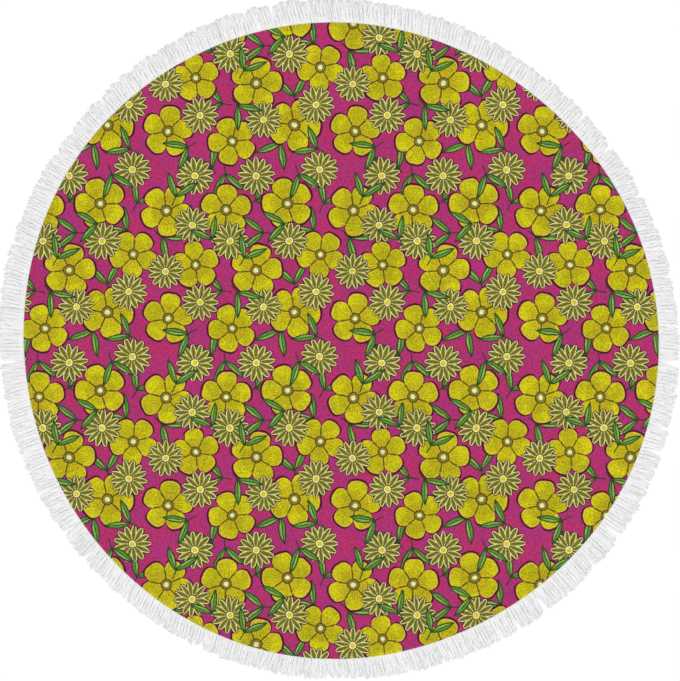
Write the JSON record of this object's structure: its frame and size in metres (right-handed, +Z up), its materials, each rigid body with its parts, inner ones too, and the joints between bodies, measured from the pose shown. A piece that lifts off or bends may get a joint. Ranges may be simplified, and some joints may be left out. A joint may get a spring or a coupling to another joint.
{
  "type": "round beach towel",
  "caption": "Round beach towel lying flat: a thin disc of printed towelling with a cut cotton yarn fringe sewn under its hem all the way round.",
  "frame": {"origin": "middle of the towel's underside, on the surface it lies on", "axes": "+Z up out of the printed face; +X to the right and +Y to the top of the towel as seen from above"},
  "size_m": [1.5327, 1.5286, 0.0038],
  "materials": {
    "printed_towelling": "printed velour towelling, magenta ground with yellow and cream flowers and green leaves, plain white back",
    "cotton_yarn": "soft white cut cotton yarn"
  },
  "bodies": {
    "root": {"printed_cloth": "printed_towelling", "yarn_fringe": "cotton_yarn"}
  },
  "joints": []
}
